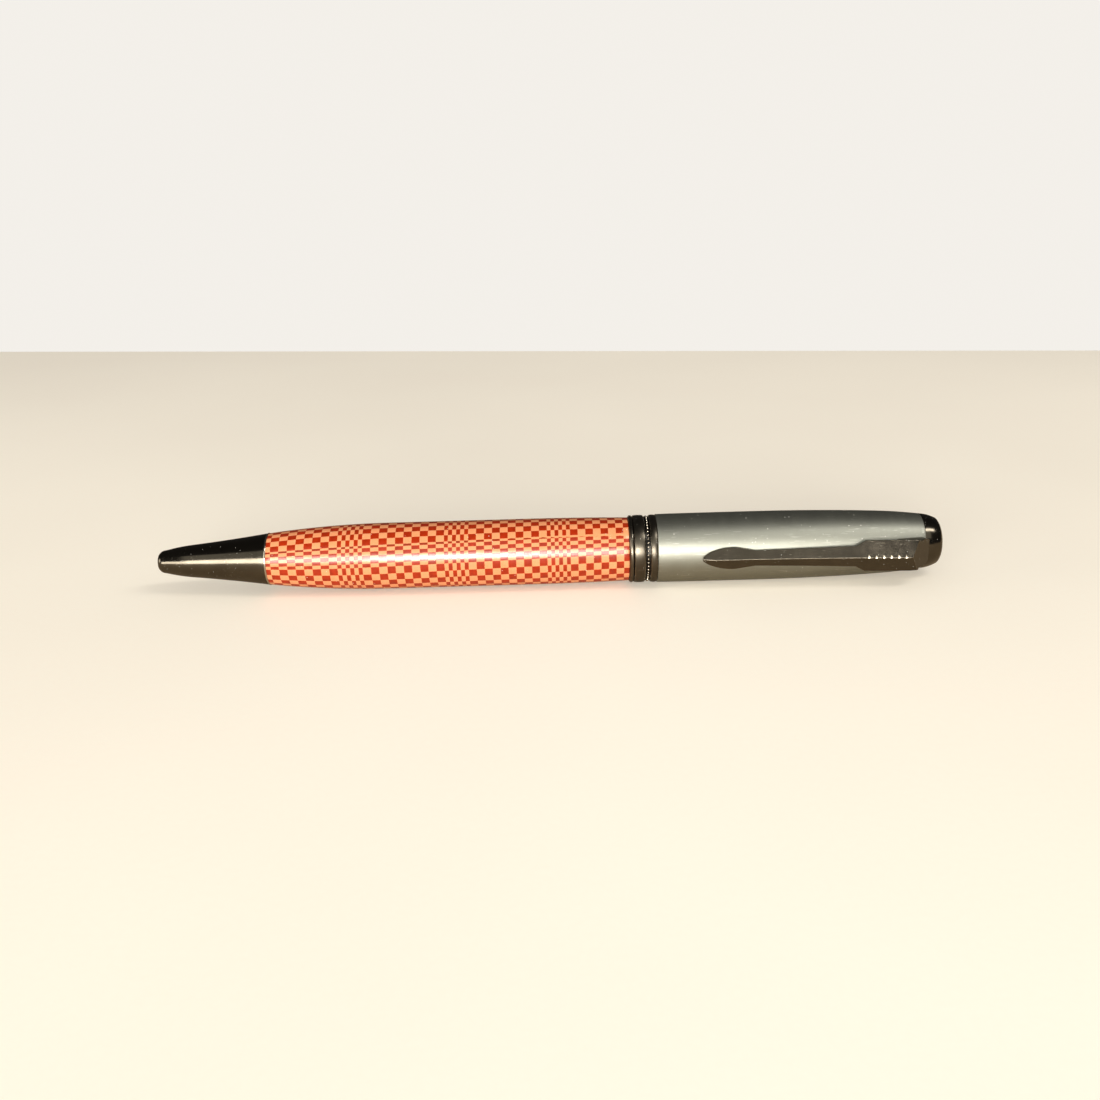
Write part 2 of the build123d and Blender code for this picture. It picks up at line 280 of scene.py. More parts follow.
def round_edges(piece, width, angle):
    """Rounds the sharp edges and marks their faces in the attribute "edge", which the wear reads.

    The faces are told apart by the second of two empty material slots.
    """
    for _ in range(2):
        piece.data.materials.append(None)
    modify(piece, "BEVEL", width=width, segments=3, limit_method="ANGLE", angle_limit=math.radians(angle),
           material=1)
    mark = piece.data.attributes.new("edge", "FLOAT", "FACE")
    for polygon in piece.data.polygons:
        mark.data[polygon.index].value = float(polygon.material_index == 1)
        polygon.material_index = 0


def close_up(piece):
    """Merges doubles and turns all faces outwards."""
    only(piece)
    bpy.ops.object.mode_set(mode="EDIT")
    bpy.ops.mesh.select_all(action="SELECT")
    bpy.ops.mesh.remove_doubles(threshold=0.002 * MM)
    bpy.ops.mesh.normals_make_consistent(inside=False)
    bpy.ops.object.mode_set(mode="OBJECT")


def turn(name, outline, edge=None):
    """Turns a piece on the lathe from an outline of (millimetres from the nose, radius).

    A tube's outline ends where it starts. One that starts and ends near the axis is closed there.
    """
    sizes = bpy.context.scene.pen_sizes
    (x, r), rest = outline[0], outline[1:]
    deselect()
    bpy.ops.mesh.primitive_circle_add(
        vertices=sizes.facets, radius=r * MM, location=(along(x), AXIS.y, AXIS.z),
        rotation=(0, math.pi / 2, 0),
    )
    piece = settle(bpy.context.object, name)
    bpy.ops.object.mode_set(mode="EDIT")
    bpy.ops.mesh.select_all(action="SELECT")
    solid = math.dist(outline[0], outline[-1]) > 0.01
    if solid:
        bpy.ops.mesh.edge_face_add()
    for next_x, next_r in rest:
        bpy.ops.mesh.extrude_region_move(TRANSFORM_OT_translate={"value": ((next_x - x) * MM, 0, 0)})
        grow = next_r / r
        bpy.ops.transform.resize(value=(1, grow, grow), center_override=(along(next_x), AXIS.y, AXIS.z))
        x, r = next_x, next_r
    bpy.ops.object.mode_set(mode="OBJECT")
    close_up(piece)
    width = sizes.edge if edge is None else edge * MM
    round_edges(piece, width, 28)
    smooth(piece)
    return piece


def finish(piece, body, slot, material, *nodes):
    """Gives a piece its finish and its body, and hides the CAD nodes that it stands for."""
    piece.data.materials.clear()
    piece.data.materials.append(material)
    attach(piece, body)
    if nodes:
        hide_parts(*nodes)


def repaint(node, material):
    """Gives a CAD node a better finish, in all its material slots."""
    thing = frame["nodes"][node]
    if not thing.material_slots:
        raise RuntimeError(f"{node} has no material slot")
    for place in thing.material_slots:
        place.material = material


# ---------------------------------------------------------------- shader graphs


class Graph:
    """Adds nodes to a node tree, each wired to what it is given."""

    def __init__(self, tree):
        self.tree = tree

    def node(self, kind, *inputs, **settings):
        """A new node: inputs are values or sockets in order, None to leave one alone."""
        made = self.tree.nodes.new(kind)
        for key, value in settings.items():
            setattr(made, key, value)
        for socket, value in zip(made.inputs, inputs):
            self.give(socket, value)
        return made

    def give(self, socket, value):
        """Links or sets one input."""
        if value is None:
            return
        if isinstance(value, bpy.types.NodeSocket):
            self.tree.links.new(value, socket)
        elif hasattr(socket.default_value, "__len__") and len(socket.default_value) == 4:
            socket.default_value = (*value[:3], 1.0)
        else:
            socket.default_value = value

    def math(self, operation, *inputs, clamp=False):
        """A Math node's result."""
        return self.node("ShaderNodeMath", *inputs, operation=operation, use_clamp=clamp).outputs[0]

    def spread(self, value, low, high, to_low=0.0, to_high=1.0):
        """A value mapped from one range to another, clamped."""
        made = self.node("ShaderNodeMapRange", value, low, high, to_low, to_high)
        return made.outputs[0]

    def mix(self, factor, first, second, blend="MIX"):
        """Two colours mixed."""
        made = self.tree.nodes.new("ShaderNodeMix")
        made.data_type, made.blend_type = "RGBA", blend
        colours = [s for s in made.inputs if s.type == "RGBA"]
        self.give(made.inputs[0], factor)
        self.give(colours[0], first)
        self.give(colours[1], second)
        return [s for s in made.outputs if s.type == "RGBA"][0]

    def stretch(self, point, scale, turn=(0.0, 0.0, 0.0)):
        """A point scaled along each axis, after a turn."""
        return self.node("ShaderNodeMapping", point, None, turn, scale).outputs[0]

    def noise(self, point, scale, detail=2.0, roughness=0.5):
        """A noise texture's value."""
        made = self.tree.nodes.new("ShaderNodeTexNoise")
        self.give(made.inputs["Vector"], point)
        self.give(made.inputs["Scale"], scale)
        self.give(made.inputs["Detail"], detail)
        self.give(made.inputs["Roughness"], roughness)
        return made.outputs[0]

    def group(self, name, **inputs):
        """A shared effect, placed with its own values."""
        made = self.tree.nodes.new("ShaderNodeGroup")
        made.node_tree = bpy.data.node_groups[name]
        for key, value in inputs.items():
            self.give(made.inputs[key.replace("_", " ").capitalize()], value)
        return made.outputs


def effect(name, inputs, outputs):
    """A new shader node group, its graph, its incoming sockets and its output node."""
    tree = bpy.data.node_groups.new(name, "ShaderNodeTree")
    for label, kind, value in inputs:
        socket = tree.interface.new_socket(name=label, in_out="INPUT", socket_type=f"NodeSocket{kind}")
        if value is not None:
            socket.default_value = value
    for label, kind in outputs:
        tree.interface.new_socket(name=label, in_out="OUTPUT", socket_type=f"NodeSocket{kind}")
    graph = Graph(tree)
    entry = tree.nodes.new("NodeGroupInput")
    leaving = tree.nodes.new("NodeGroupOutput")
    return graph, entry.outputs, leaving.inputs


def build_place_effect():
    """Pen place: a point's millimetres along, its degrees around from the clip side, and its radius."""
    g, _, out = effect(
        "Pen place", [], [("Point", "Vector"), ("Along", "Float"), ("Around", "Float"), ("Radius", "Float")]
    )
    spot = g.node("ShaderNodeTexCoord").outputs["Object"]
    home = [-NOSE_X / MM, -AXIS.y / MM, -AXIS.z / MM]
    point = g.node("ShaderNodeMapping", spot, home, (0, 0, 0), (1 / MM,) * 3).outputs[0]
    x, y, z = g.node("ShaderNodeSeparateXYZ", point).outputs
    away = g.math("MULTIPLY", y, -1.0)
    down = g.math("MULTIPLY", z, -1.0)
    g.give(out["Point"], point)
    g.give(out["Along"], x)
    g.give(out["Around"], g.math("DEGREES", g.math("ARCTAN2", down, away)))
    g.give(out["Radius"], g.math("SQRT", g.math("ADD", g.math("MULTIPLY", y, y), g.math("MULTIPLY", z, z))))


def build_scratch_effect():
    """Hairlines: a mask of fine scratches, most of them along the pen and some slanting."""
    g, given, out = effect(
        "Hairlines",
        [("Point", "Vector", None), ("Fineness", "Float", 9.0), ("Amount", "Float", 0.5)],
        [("Mask", "Float")],
    )
    limit = g.math("SUBTRACT", 0.80, g.math("MULTIPLY", given["Amount"], 0.2))
    masks = []
    for turn_z, turn_y, squash in ((0.0, 0.1, 0.035), (0.5, -0.4, 0.05), (1.3, 0.7, 0.05)):
        laid = g.stretch(given["Point"], (squash, 1.0, 1.0), (0.0, turn_y, turn_z))
        lines = g.noise(laid, given["Fineness"], 1.0)
        masks.append(g.spread(lines, limit, g.math("ADD", limit, 0.03)))
    most = g.math("MAXIMUM", masks[0], g.math("MAXIMUM", masks[1], masks[2]))
    patches = g.spread(g.noise(given["Point"], 0.35, 2.0), 0.40, 0.62)
    g.give(out["Mask"], g.math("MULTIPLY", most, patches, clamp=True))


def build_dust_effect():
    """Dust: a mask of small pale specks in loose clusters."""
    g, given, out = effect(
        "Dust",
        [("Point", "Vector", None), ("Density", "Float", 2.2), ("Size", "Float", 0.12)],
        [("Mask", "Float")],
    )
    cells = g.tree.nodes.new("ShaderNodeTexVoronoi")
    g.give(cells.inputs["Vector"], given["Point"])
    g.give(cells.inputs["Scale"], given["Density"])
    chance = g.node("ShaderNodeSeparateColor", cells.outputs["Color"]).outputs[0]
    clusters = g.noise(given["Point"], 0.22, 1.0)
    rare = g.math("GREATER_THAN", g.math("ADD", g.math("MULTIPLY", chance, 0.5), clusters), 0.93)
    reach = g.math("MULTIPLY", given["Size"], g.math("ADD", chance, 0.2))
    speck = g.math("SUBTRACT", 1.0, g.math("DIVIDE", cells.outputs["Distance"], reach), clamp=True)
    g.give(out["Mask"], g.math("MULTIPLY", g.math("MULTIPLY", speck, rare), 1.8, clamp=True))


def build_wear_effect():
    """Edge wear: a mask along the rounded edges, broken up by noise."""
    g, given, out = effect(
        "Edge wear", [("Point", "Vector", None), ("Cover", "Float", 0.5)], [("Mask", "Float")]
    )
    edge = g.node("ShaderNodeAttribute", attribute_name="edge").outputs["Fac"]
    limit = g.math("SUBTRACT", 0.75, g.math("MULTIPLY", given["Cover"], 0.5))
    broken = g.spread(g.noise(given["Point"], 2.5, 3.0), limit, g.math("ADD", limit, 0.15))
    g.give(out["Mask"], g.math("MULTIPLY", edge, broken))


def build_lathe_effect():
    """Lathe lines: the height of fine grooves that run around a turned piece."""
    g, given, out = effect(
        "Lathe lines", [("Along", "Float", 0.0), ("Fineness", "Float", 12.0)], [("Height", "Float")]
    )
    lines = g.tree.nodes.new("ShaderNodeTexNoise")
    lines.noise_dimensions = "1D"
    g.give(lines.inputs["W"], given["Along"])
    g.give(lines.inputs["Scale"], given["Fineness"])
    g.give(lines.inputs["Detail"], 3.0)
    g.give(out["Height"], lines.outputs[0])


# The printed sheet: places along it in millimetres from the nose, and around it in degrees.
LARGE_CHECKS = 10.0
PATTERN_LONG = 13.0
COLUMN_START = 36.14
COLUMN_CHIRP = 0.0016
SHEET_START = 27.6
SHEET_TWIST = 0.25
VIEW_LINE = -19.5
SEAM_AT = VIEW_LINE - 16.0
FIRST_LARGE_ROW = VIEW_LINE + 22.1
GAP_FROM = 57.5
GAP_SPREAD = 0.25
OVERLAP_TO = 64.5
OVERLAP_SPREAD = 0.07
LAST_ROWS = 12


def parity(g, position):
    """The pattern repeats after ten large checks and six of half their size.
    """
    spot = g.math("FLOORED_MODULO", position, PATTERN_LONG)
    large = g.math("FLOOR", spot)
    beyond = g.math("MULTIPLY", g.math("SUBTRACT", spot, LARGE_CHECKS), 2.0)
    small = g.math("ADD", LARGE_CHECKS, g.math("FLOOR", beyond))
    in_small = g.math("GREATER_THAN", spot, LARGE_CHECKS)
    index = g.math("ADD", large, g.math("MULTIPLY", in_small, g.math("SUBTRACT", small, large)))
    return g.math("MODULO", index, 2.0)


def differ(g, first, second):
    """One where two parities differ, which is where a check is printed."""
    return g.math("ABSOLUTE", g.math("SUBTRACT", first, second))


def build_check_effect():
    """Checks: where the red is, and where the printed sheet's two edges meet.

    The sheet is wrapped around the barrel with a slight twist. Its rows are counted down from its
    first edge, and the last twelve are counted up from its last edge. The edges overlap a little
    near the nose and leave a gap near the waist.
    """
    sizes = bpy.context.scene.pen_sizes
    g, given, out = effect(
        "Checks",
        [("Along", "Float", 0.0), ("Around", "Float", 0.0), ("Point", "Vector", None)],
        [("Red", "Float"), ("Seam", "Float")],
    )
    tall = math.degrees(sizes.check_tall)
    long_mm = sizes.check_long / MM
    wander = g.math("SUBTRACT", g.noise(given["Point"], 3.0, 3.0), 0.5)
    s = g.math("ADD", given["Along"], g.math("MULTIPLY", wander, 0.09))
    column = g.math("DIVIDE", g.math("SUBTRACT", s, COLUMN_START), long_mm)
    column = g.math("ADD", column, g.math("MULTIPLY", g.math("MULTIPLY", column, column), COLUMN_CHIRP))
    column_parity = parity(g, column)

    twist = g.math("MULTIPLY", g.math("SUBTRACT", s, SHEET_START), SHEET_TWIST)
    turned = g.math("ADD", g.math("ADD", given["Around"], twist), g.math("MULTIPLY", wander, 0.9))
    down = g.math("ADD", g.math("FLOORED_MODULO", g.math("SUBTRACT", turned, SEAM_AT), 360.0), SEAM_AT)
    first_edge_bow = g.math("PINGPONG", column, 0.5)
    opening = g.math("MULTIPLY", g.math("SUBTRACT", s, GAP_FROM), GAP_SPREAD)
    first_edge = g.math("ADD", g.math("ADD", SEAM_AT, opening), g.math("MULTIPLY", first_edge_bow, -2.2))
    first_rows = parity(g, g.math("DIVIDE", g.math("SUBTRACT", down, FIRST_LARGE_ROW), tall))
    printed_first = g.math("GREATER_THAN", down, g.math("MAXIMUM", first_edge, SEAM_AT - 1.0))
    red_first = g.math("MULTIPLY", differ(g, column_parity, first_rows), printed_first)

    last_start = FIRST_LARGE_ROW + PATTERN_LONG * tall
    last_height = (360.0 + SEAM_AT - last_start) / LAST_ROWS
    from_last = g.math("DIVIDE", g.math("SUBTRACT", down, 360.0 + SEAM_AT), last_height)
    last_rows = g.math("FLOORED_MODULO", g.math("FLOOR", from_last), 2.0)
    red_last = differ(g, column_parity, last_rows)
    past = g.math("SUBTRACT", down, SEAM_AT)
    tail = g.math("MULTIPLY", g.math("SUBTRACT", OVERLAP_TO, s), OVERLAP_SPREAD)
    bowed_tail = g.math("SUBTRACT", tail, g.math("MULTIPLY", g.math("SUBTRACT", 0.5, first_edge_bow), 2.0))
    printed_tail = g.math("LESS_THAN", past, bowed_tail)
    red_tail = g.math("MULTIPLY", column_parity, printed_tail)

    on_last = g.math("GREATER_THAN", down, last_start)
    red = g.math("ADD", red_first, g.math("MULTIPLY", on_last, g.math("SUBTRACT", red_last, red_first)))
    g.give(out["Red"], g.math("MAXIMUM", red, red_tail))
    near = g.spread(g.math("ABSOLUTE", g.math("SUBTRACT", past, 1.2)), 0.4, 3.0, 1.0, 0.0)
    g.give(out["Seam"], near)


def build_effects():
    """Builds every shared effect once."""
    build_place_effect()
    build_scratch_effect()
    build_dust_effect()
    build_wear_effect()
    build_lathe_effect()
    build_check_effect()


# ---------------------------------------------------------------- finishes


def new_material(name):
    """A material with its graph and its shader."""
    material = bpy.data.materials.new(name)
    material.use_nodes = True
    graph = Graph(material.node_tree)
    return material, graph, material.node_tree.nodes["Principled BSDF"].inputs


def bump(graph, height, strength, distance_mm):
    """A Bump node's normal."""
    made = graph.tree.nodes.new("ShaderNodeBump")
    graph.give(made.inputs["Height"], height)
    made.inputs["Strength"].default_value = strength
    made.inputs["Distance"].default_value = distance_mm * MM
    return made.outputs[0]


def metal(name, colour, roughness, lines=0.15, fineness=14.0, hair=0.45, dust=0.125, wear=(0.5, 0.45, 0.36),
          duller=None):
    """A metal with lathe lines, hairline scratches, dust, slow tarnish and bright worn edges.

    Between the two places in `duller` its flats are rubbed dull.
    """
    material, g, shader = new_material(name)
    place = g.group("Pen place")
    hairs = g.group("Hairlines", point=place["Point"], amount=hair)["Mask"]
    specks = g.group("Dust", point=place["Point"], size=dust)["Mask"]
    worn = g.group("Edge wear", point=place["Point"], cover=0.75)["Mask"]
    grooves = g.group("Lathe lines", along=place["Along"], fineness=fineness)["Height"]
    tarnish = g.spread(g.noise(place["Point"], 0.3, 4.0), 0.3, 0.7)
    deep = tuple(c * 0.8 for c in colour)
    base = g.mix(tarnish, deep, colour)
    base = g.mix(g.math("MULTIPLY", worn, 0.6), base, wear)
    base = g.mix(g.math("MULTIPLY", hairs, 0.35), base, wear)
    base = g.mix(specks, base, (0.62, 0.60, 0.55))
    g.give(shader["Base Color"], base)
    g.give(shader["Metallic"], g.math("SUBTRACT", 1.0, g.math("MULTIPLY", specks, 0.9)))
    smear = g.spread(g.noise(place["Point"], 0.9, 3.0), 0.3, 0.75, roughness, roughness * 1.45)
    rough = g.math("ADD", smear, g.math("MULTIPLY", hairs, 0.16))
    if duller:
        first, last = duller
        inside = g.math("MULTIPLY", g.math("GREATER_THAN", place["Along"], first),
                        g.math("LESS_THAN", place["Along"], last))
        flat = g.math("MULTIPLY", inside, g.math("SUBTRACT", 1.0, worn))
        rough = g.math("ADD", rough, g.math("MULTIPLY", flat, 0.15))
    g.give(shader["Roughness"], g.math("ADD", rough, g.math("MULTIPLY", specks, 0.4), clamp=True))
    height = g.math("ADD", grooves, g.math("MULTIPLY", hairs, -0.6))
    g.give(shader["Normal"], bump(g, height, lines, 0.01))
    return material


def satin_metal(name, colour):
    """Bead-blasted metal: a fine even grain, wipe marks, small nicks and dust."""
    material, g, shader = new_material(name)
    place = g.group("Pen place")
    grain = g.noise(g.stretch(place["Point"], (1.0, 1.6, 1.6)), 16.0, 3.0, 0.7)
    clouds = g.spread(g.noise(place["Point"], 0.16, 3.0), 0.35, 0.7)
    wipes = g.noise(g.stretch(place["Point"], (1.4, 0.12, 0.12)), 1.6, 3.0)
    hairs = g.group("Hairlines", point=place["Point"], fineness=6.0, amount=0.55)["Mask"]
    specks = g.group("Dust", point=place["Point"], density=1.5, size=0.15)["Mask"]
    worn = g.group("Edge wear", point=place["Point"])["Mask"]
    base = g.mix(clouds, tuple(c * 0.92 for c in colour), colour)
    base = g.mix(g.spread(grain, 0.35, 0.7), tuple(c * 0.86 for c in colour), base)
    base = g.mix(g.math("MULTIPLY", worn, 0.5), base, (0.66, 0.64, 0.58))
    base = g.mix(g.math("MAXIMUM", specks, g.math("MULTIPLY", hairs, 0.5)), base, (0.74, 0.72, 0.66))
    g.give(shader["Base Color"], base)
    g.give(shader["Metallic"], g.math("SUBTRACT", 1.0, g.math("MULTIPLY", specks, 0.8)))
    rough = g.spread(wipes, 0.3, 0.7, 0.45, 0.50)
    rough = g.math("ADD", rough, g.spread(grain, 0.3, 0.7, -0.03, 0.05))
    g.give(shader["Roughness"], g.math("SUBTRACT", rough, g.math("MULTIPLY", hairs, 0.08)))
    height = g.math("ADD", grain, g.math("MULTIPLY", hairs, -0.8))
    g.give(shader["Normal"], bump(g, height, 0.25, 0.012))
    return material


def checked_lacquer(name, red, ground):
    """Two-tone printed sheet under thick clear lacquer."""
    material, g, shader = new_material(name)
    place = g.group("Pen place")
    checks = g.group("Checks", along=place["Along"], around=place["Around"], point=place["Point"])
    patch = g.spread(g.noise(place["Point"], 1.1, 4.0), 0.3, 0.7)
    fleck = g.spread(g.noise(place["Point"], 9.0, 2.0), 0.25, 0.75)
    red_tone = g.mix(patch, tuple(c * 0.80 for c in red), tuple(min(1.0, c * 1.14) for c in red))
    ground_tone = g.mix(patch, tuple(c * f for c, f in zip(ground, (1.0, 0.92, 0.82))), ground)
    ground_tone = g.mix(g.math("MULTIPLY", fleck, 0.25), ground_tone, (1.0, 0.56, 0.30))
    base = g.mix(checks["Red"], ground_tone, red_tone)
    dark = g.math("MULTIPLY", g.math("MULTIPLY", checks["Seam"], checks["Red"]), 0.55)
    base = g.mix(dark, base, (0.14, 0.022, 0.004))
    specks = g.group("Dust", point=place["Point"], density=1.4, size=0.11)["Mask"]
    hairs = g.group("Hairlines", point=place["Point"], fineness=5.0, amount=0.35)["Mask"]
    base = g.mix(g.math("MULTIPLY", specks, 0.8), base, (0.92, 0.80, 0.66))
    g.give(shader["Base Color"], base)
    g.give(shader["Roughness"], g.spread(fleck, 0.0, 1.0, 0.34, 0.42))
    g.give(shader["Coat Weight"], g.math("SUBTRACT", 1.0, g.math("MULTIPLY", specks, 0.7)))
    shader["Specular IOR Level"].default_value = 0.04
    shader["Coat Roughness"].default_value = 0.2
    shader["Coat IOR"].default_value = 1.6
    drawn = g.noise(g.stretch(place["Point"], (0.05, 1.0, 1.0)), 5.0, 3.0, 0.6)
    height = g.math("ADD", g.math("MULTIPLY", checks["Red"], 0.35), g.math("MULTIPLY", hairs, -0.5))
    g.give(shader["Normal"], bump(g, g.math("ADD", height, drawn), 0.25, 0.01))
    return material


def moulded(name, colour, roughness=0.45, grain=0.25):
    """Moulded plastic or rubber: fine grain, dull patches, scuffed edges and dust."""
    material, g, shader = new_material(name)
    place = g.group("Pen place")
    fine = g.noise(place["Point"], 14.0, 3.0, 0.65)
    patch = g.spread(g.noise(place["Point"], 0.7, 3.0), 0.3, 0.7)
    worn = g.group("Edge wear", point=place["Point"])["Mask"]
    specks = g.group("Dust", point=place["Point"], size=0.2)["Mask"]
    pale = tuple(min(1.0, c * 1.3 + 0.05) for c in colour)
    base = g.mix(patch, tuple(c * 0.85 for c in colour), colour)
    base = g.mix(g.math("MULTIPLY", worn, 0.5), base, pale)
    base = g.mix(specks, base, (0.6, 0.58, 0.54))
    g.give(shader["Base Color"], base)
    g.give(shader["Roughness"], g.spread(fine, 0.3, 0.7, roughness * 0.85, roughness * 1.15))
    g.give(shader["Normal"], bump(g, fine, grain, 0.012))
    return material


def ink(name, colour, roughness):
    """Thick ink or grease: glossy, with slow streaks along the tube."""
    material, g, shader = new_material(name)
    place = g.group("Pen place")
    streaks = g.noise(g.stretch(place["Point"], (0.25, 1.0, 1.0)), 2.0, 4.0)
    base = g.mix(g.spread(streaks, 0.3, 0.7), tuple(c * 0.6 for c in colour), colour)
    g.give(shader["Base Color"], base)
    g.give(shader["Roughness"], g.spread(streaks, 0.3, 0.7, roughness, roughness * 1.6))
    g.give(shader["Normal"], bump(g, streaks, 0.3, 0.03))
    return material


def build_finishes():
    """Builds every finish once, by its slot's name."""
    colours = bpy.context.scene.pen_colours
    steel, brass = tuple(colours.steel), tuple(colours.brass)
    red, peach = tuple(colours.check_red), tuple(colours.check_peach)
    made = {
        "gunmetal_plate": metal("Gunmetal plating", tuple(colours.plating), 0.13, lines=0.05, hair=0.3,
                                duller=(start_of("coupling_ring"), end_of("band_rear"))),
        "bright_plate": metal("Bright trim plating", (0.78, 0.70, 0.58), 0.14, lines=0.1),
        "barrel_lacquer": checked_lacquer("Checked lacquer", red, peach),
        "satin_metal": satin_metal("Satin metal", tuple(colours.satin)),
        "band_black": metal("Blackened ring", (0.03, 0.028, 0.025), 0.25, wear=(0.42, 0.40, 0.36)),
        "brass": metal("Turned brass", brass, 0.24, lines=0.4, wear=(0.85, 0.66, 0.36)),
        "connector_brass": metal("Core brass", tuple(c * 0.95 for c in brass), 0.2, lines=0.35,
                                 wear=(0.85, 0.66, 0.36)),
        "spring_steel": metal("Spring wire", steel, 0.2, lines=0.1, wear=(0.8, 0.8, 0.78)),
        "point_steel": metal("Nickel silver", (0.60, 0.55, 0.46), 0.18, lines=0.3, fineness=30.0),
        "ball_carbide": metal("Carbide ball", (0.42, 0.42, 0.43), 0.08, lines=0.02, dust=0.05),
        "refill_steel": metal("Drawn refill steel", steel, 0.27, lines=0.2, fineness=6.0,
                              wear=(0.8, 0.79, 0.76)),
        "screw_steel": metal("Zinc-plated screw", (0.52, 0.52, 0.54), 0.3, lines=0.3, wear=(0.8, 0.8, 0.8)),
        "ink": ink("Ink", (0.012, 0.012, 0.05), 0.12),
        "grease": ink("Grease", (0.62, 0.50, 0.24), 0.18),
        "refill_plastic": moulded("Refill plug plastic", (0.035, 0.036, 0.04)),
        "follower_plastic": moulded("Follower acetal", (0.72, 0.69, 0.60), 0.38),
        "cam_plastic": moulded("Cam acetal", (0.60, 0.60, 0.55), 0.4),
        "liner_plastic": moulded("Liner plastic", (0.05, 0.05, 0.052), 0.5),
        "seal_rubber": moulded("Seal rubber", (0.018, 0.018, 0.018), 0.7, 0.5),
    }
    return made


# ---------------------------------------------------------------- pieces

FINISHES = {}
TONGUE_AT = 128.9


class PEN_OT_nose_cone(bpy.types.Operator):
    """Turns the plated nose cone, with its mouth, spring chamber and spigot"""

    bl_idname = "pen.nose_cone"
    bl_label = "Nose cone"

    def execute(self, context):
        back, spigot_end = start_of("nose_trim_ring"), end_of("nose_cone")
        shoulder, spigot = radius_of("nose_cone"), 3.3
        mouth, lip, spring_bore, refill_way = 1.25, 0.08, 2.05, 3.05
        spring_seat, taper_start, taper_end = 3.6, 9.8, 14.8
        outline = [(0.0, mouth + lip), (0.0, 1.35)]
        outline += arc((0.0, 1.35), (0.33, 1.72), (1.2, 2.02), 6)
        outline += arc((1.2, 2.02), (3.3, 2.48), (6.0, 2.86), 8)
        outline += arc((6.0, 2.86), (12.6, 3.61), (back, shoulder), 12)
        outline += [(back, spigot), (spigot_end, spigot), (spigot_end, refill_way), (taper_end, refill_way)]
        outline += [(taper_start, spring_bore), (spring_seat, spring_bore), (spring_seat, mouth)]
        outline += [(lip, mouth), (0.0, mouth + lip)]
        piece = turn("nose_cone_finished", outline)
        finish(piece, "lower_half", "gunmetal_plate", FINISHES["gunmetal_plate"], "nose_cone")
        return {"FINISHED"}


class PEN_OT_trim_ring(bpy.types.Operator):
    """Turns the thin bright ring between the nose cone and the barrel"""

    bl_idname = "pen.trim_ring"
    bl_label = "Trim ring"

    def execute(self, context):
        start, end = start_of("nose_trim_ring"), end_of("nose_trim_ring")
        crown = arc((start, 4.5), ((start + end) / 2, radius_of("nose_trim_ring")), (end, 4.52), 8)
        outline = [(start, 3.3), (start, 4.5), *crown, (end, 3.3), (start, 3.3)]
        piece = turn("trim_ring_finished", outline, edge=0.01)
        finish(piece, "lower_half", "bright_plate", FINISHES["bright_plate"], "nose_trim_ring")
        return {"FINISHED"}


class PEN_OT_barrel(bpy.types.Operator):
    """Turns the swelling barrel tube and gives it the checked lacquer"""

    bl_idname = "pen.barrel"
    bl_label = "Barrel"

    def execute(self, context):
        start, end = start_of("barrel_shell"), end_of("barrel_shell")
        widest = radius_of("barrel_shell")
        grip_start, grip_end = 40.0, 65.0
        front_bush, hollow, rear_bush = 3.95, 5.15, 4.85
        swell, _ = leave((grip_start, widest), (-1, 0), (start, 4.5), 26)
        waist, _ = leave((grip_end, widest), (1, 0), (end, 5.5), 16)
        outline = [(start, front_bush), *reversed(swell), (grip_start, widest)]
        outline += [(x, widest) for x in (45.0, 50.0, 55.0, 60.0, grip_end)]
        outline += [*waist, (end, rear_bush), (70.0, rear_bush), (66.0, hollow), (38.0, hollow)]
        outline += [(28.0, front_bush), (start, front_bush)]
        piece = turn("barrel_finished", outline)
        finish(piece, "lower_half", "barrel_lacquer", FINISHES["barrel_lacquer"], "barrel_shell")
        return {"FINISHED"}


